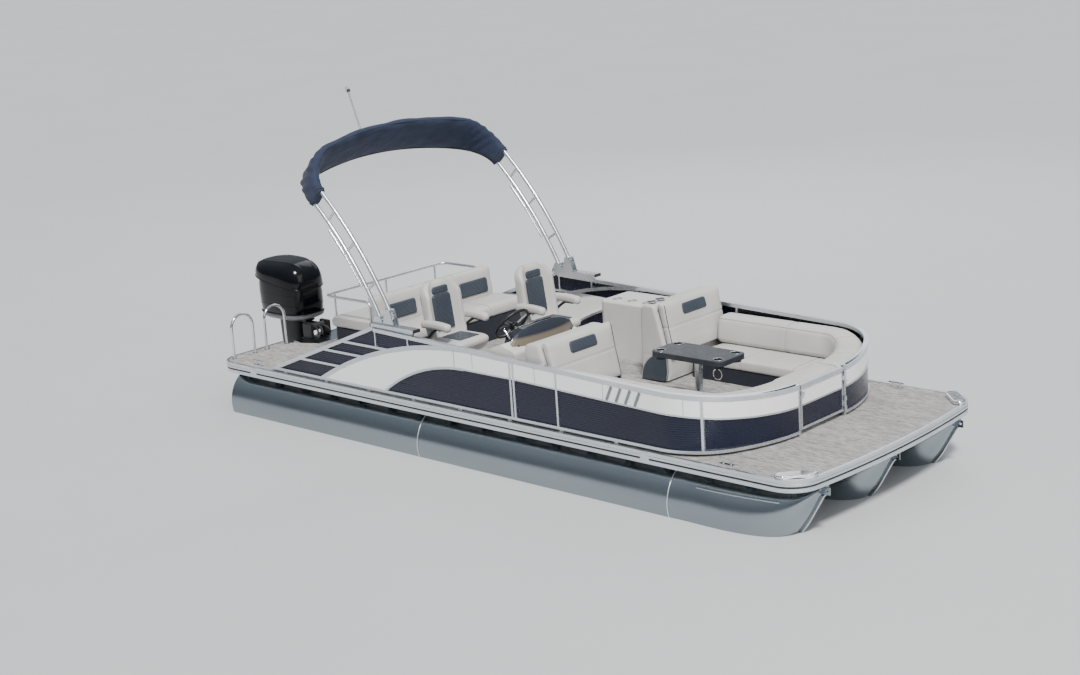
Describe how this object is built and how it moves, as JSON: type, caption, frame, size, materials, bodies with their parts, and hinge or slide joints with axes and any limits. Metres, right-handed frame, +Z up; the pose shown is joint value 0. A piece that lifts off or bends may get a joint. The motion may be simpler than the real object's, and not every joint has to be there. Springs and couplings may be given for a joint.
{
  "type": "pontoon boat",
  "caption": "Pontoon boat on aluminium tubes: fenced deck with lounges, helm, folded canvas arch and an outboard motor at the stern.",
  "frame": {"origin": "on the centreline, halfway along the deck, at the still waterline", "axes": "+X to the bow, +Y to port, +Z up"},
  "size_m": [7.759, 2.59, 3.6708],
  "materials": {
    "hull_aluminium": "satin, drawn along the tubes",
    "rail_aluminium": "anodised satin",
    "deck_vinyl": "woven vinyl, grey with fore and aft streaks",
    "dark_rubber": "matte",
    "navy_panel": "gloss navy, fine ribs",
    "white_panel": "gloss white",
    "light_vinyl": "light warm grey marine vinyl",
    "console_plastic": "moulded, light warm grey",
    "slate_plastic": "textured slate",
    "tinted_screen": "bronze tint",
    "stainless": "polished",
    "black_plastic": "satin black",
    "gloss_black": "glossy black",
    "grey_plastic": "satin dark grey",
    "navy_canvas": "navy acrylic canvas"
  },
  "bodies": {
    "root": {"aft_back": "light_vinyl", "aft_base": "navy_panel", "aft_rail": "rail_aluminium", "aft_seat": "light_vinyl", "arch_mounts": "dark_rubber", "bow_back_port": "light_vinyl", "bow_back_starboard": "light_vinyl", "bow_base_port": "navy_panel", "bow_base_starboard": "navy_panel", "bow_filler": "light_vinyl", "bow_seat_port": "light_vinyl", "bow_seat_starboard": "light_vinyl", "chaise_cushion_port": "light_vinyl", "chaise_cushion_starboard": "light_vinyl", "chaise_shell_port": "light_vinyl", "chaise_shell_starboard": "light_vinyl", "cleats": "stainless", "companion_chair_pedestal": "rail_aluminium", "corner_fittings": "stainless", "cross_members": "hull_aluminium", "deck": "deck_vinyl", "fence_band_port": "white_panel", "fence_band_starboard": "white_panel", "fence_frame_port": "rail_aluminium", "fence_frame_starboard": "rail_aluminium", "fence_panels_port": "navy_panel", "fence_panels_starboard": "navy_panel", "gills": "rail_aluminium", "helm_chair_pedestal": "rail_aluminium", "helm_console": "console_plastic", "helm_dash": "slate_plastic", "motor_clamp": "black_plastic", "motor_pod": "hull_aluminium", "pontoon_centre": "hull_aluminium", "pontoon_port": "hull_aluminium", "pontoon_starboard": "hull_aluminium", "port_console": "console_plastic", "rub_insert": "dark_rubber", "rub_rail": "rail_aluminium", "steering_column": "black_plastic", "stern_hoops": "stainless", "sun_pad": "light_vinyl", "table_pedestal": "rail_aluminium", "wind_screen": "tinted_screen"},
    "arch": {"arch_frame": "rail_aluminium", "arch_struts": "rail_aluminium", "arch_canvas": "navy_canvas", "light_mast": "rail_aluminium"},
    "bow_gate": {"bow_gate_frame": "rail_aluminium", "bow_gate_panel": "navy_panel", "bow_gate_band": "white_panel"},
    "table": {"table_top": "slate_plastic"},
    "helm_seat": {"helm_chair": "light_vinyl"},
    "companion_seat": {"companion_chair": "light_vinyl"},
    "wheel": {"steering_wheel": "black_plastic"},
    "motor_tilt": {"motor_swivel": "black_plastic"},
    "motor_steer": {"motor_leg": "black_plastic", "motor_pan": "grey_plastic", "motor_cowl": "gloss_black"},
    "prop": {"propeller": "stainless"}
  },
  "joints": [
    {"name": "arch_fold", "type": "hinge", "parent": "root", "child": "arch", "pos_m": [-1.14, 0, 1.217], "axis": [0, -1, 0], "range_deg": [0, 40]},
    {"name": "bow_gate_swing", "type": "hinge", "parent": "root", "child": "bow_gate", "pos_m": [2.776, 0.307, 0.715], "axis": [0, 0, 1], "range_deg": [0, 100]},
    {"name": "table_turn", "type": "hinge", "parent": "root", "child": "table", "pos_m": [1.61, -0.13, 0.965], "axis": [0, 0, 1], "continuous": true},
    {"name": "helm_swivel", "type": "hinge", "parent": "root", "child": "helm_seat", "pos_m": [-0.82, -0.56, 0.795], "axis": [0, 0, 1], "continuous": true},
    {"name": "companion_swivel", "type": "hinge", "parent": "root", "child": "companion_seat", "pos_m": [-0.48, 0.33, 0.795], "axis": [0, 0, 1], "continuous": true},
    {"name": "wheel_turn", "type": "hinge", "parent": "root", "child": "wheel", "pos_m": [-0.085, -0.6, 1.155], "axis": [-0.766, 0, 0.6428], "range_deg": [-540, 540]},
    {"name": "motor_tilt", "type": "hinge", "parent": "root", "child": "motor_tilt", "pos_m": [-3.505, 0, 0.575], "axis": [0, 1, 0], "range_deg": [0, 60]},
    {"name": "motor_steering", "type": "hinge", "parent": "motor_tilt", "child": "motor_steer", "pos_m": [-3.64, 0, 0.515], "axis": [0, 0, 1], "range_deg": [-30, 30]},
    {"name": "prop_spin", "type": "hinge", "parent": "motor_steer", "child": "prop", "pos_m": [-4.03, 0, -0.33], "axis": [1, 0, 0], "continuous": true}
  ],
  "couplings": [
    {"joint": "wheel_turn", "follows": "motor_steering", "ratio": 18}
  ]
}
